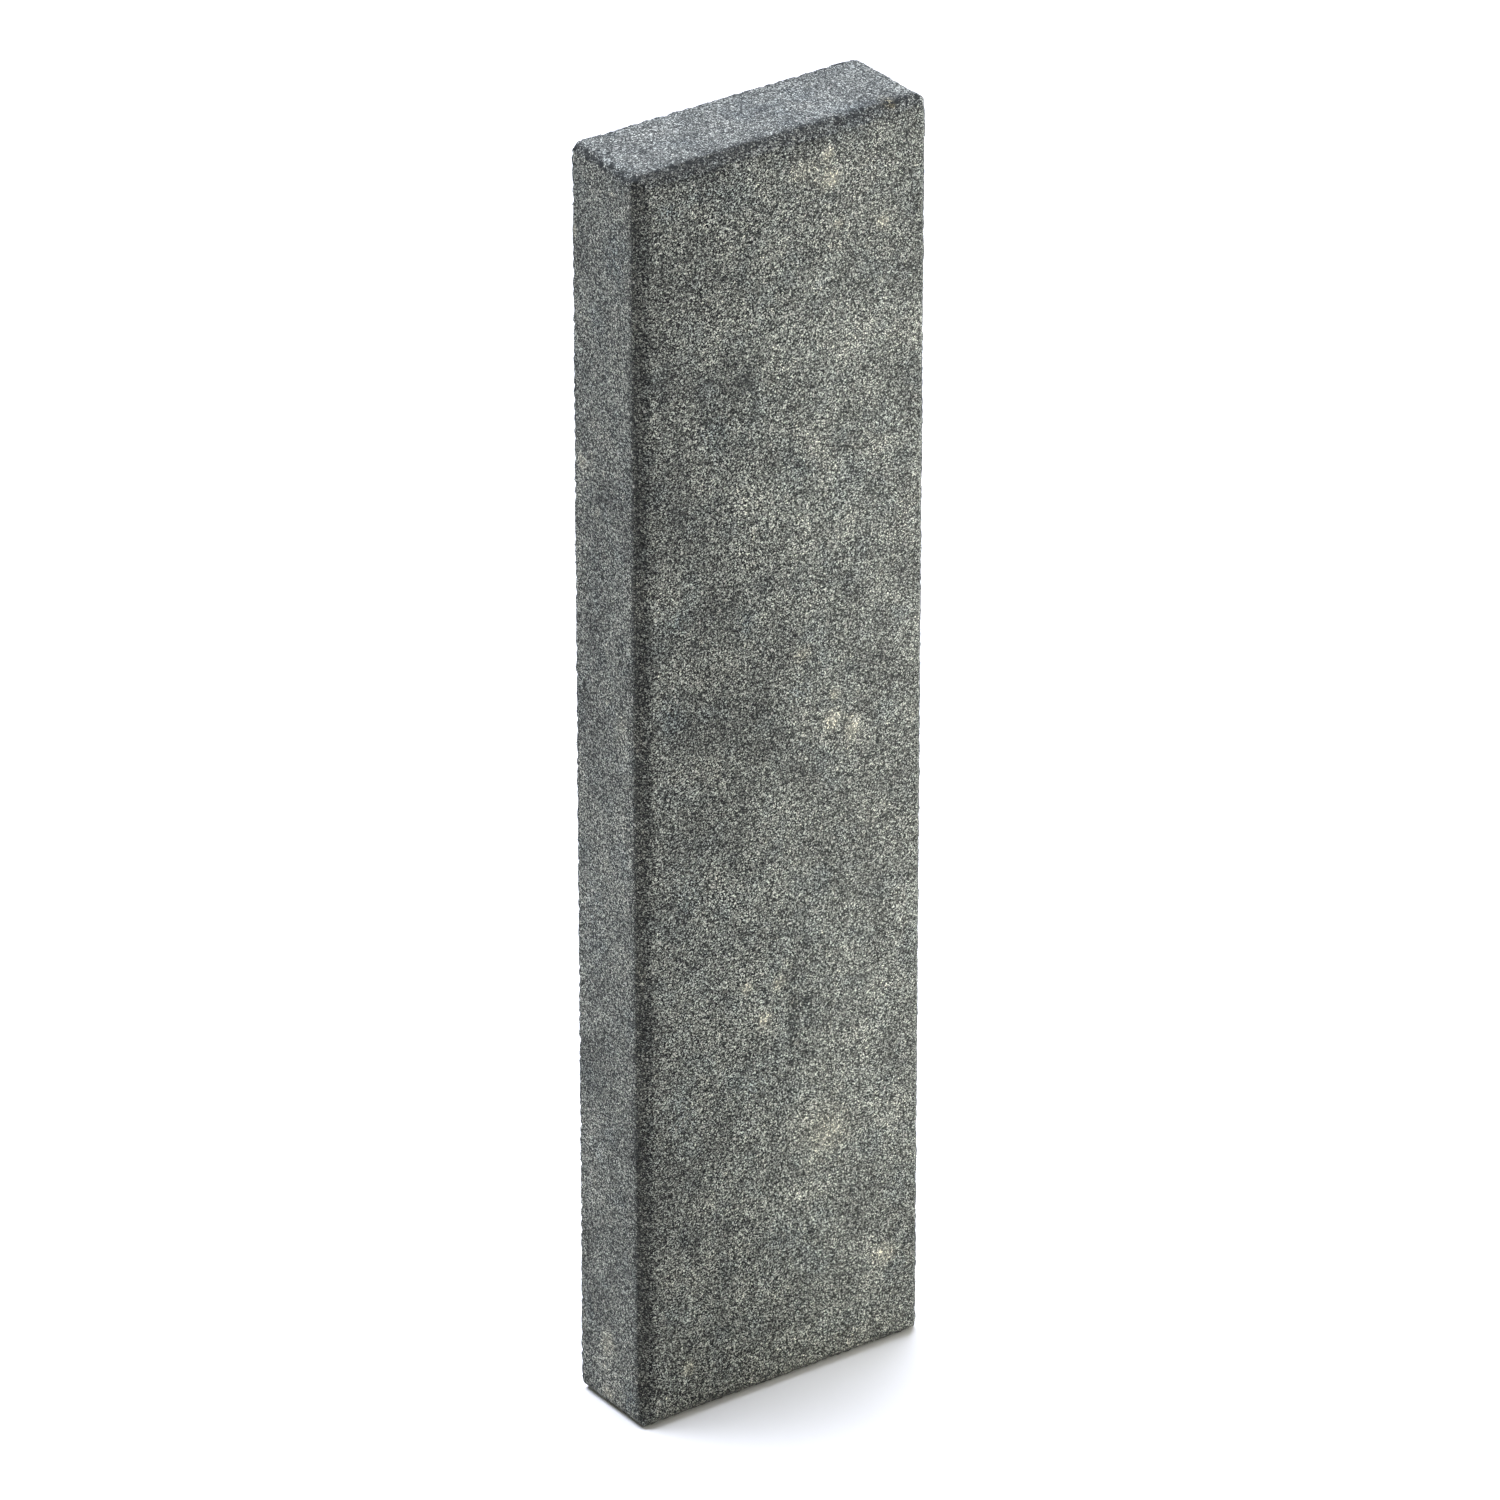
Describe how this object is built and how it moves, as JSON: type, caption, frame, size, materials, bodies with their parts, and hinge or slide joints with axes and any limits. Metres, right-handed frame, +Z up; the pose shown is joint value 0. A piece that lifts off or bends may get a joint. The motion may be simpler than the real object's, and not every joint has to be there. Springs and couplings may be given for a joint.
{
  "type": "edging palisade",
  "caption": "Upright concrete edging palisade: a plain rectangular slab, chamfered all around its wide front face, with a flat end to stand on.",
  "frame": {"origin": "centre of the footprint, on the end face that the slab stands on", "axes": "+Z up along the slab's length, +X across its width, -Y out of the chamfered front face"},
  "size_m": [0.25, 0.08, 1],
  "materials": {
    "concrete": "rough sandy vibro-pressed concrete, dark grey with paler clouds"
  },
  "bodies": {
    "root": {"palisade": "concrete"}
  },
  "joints": []
}
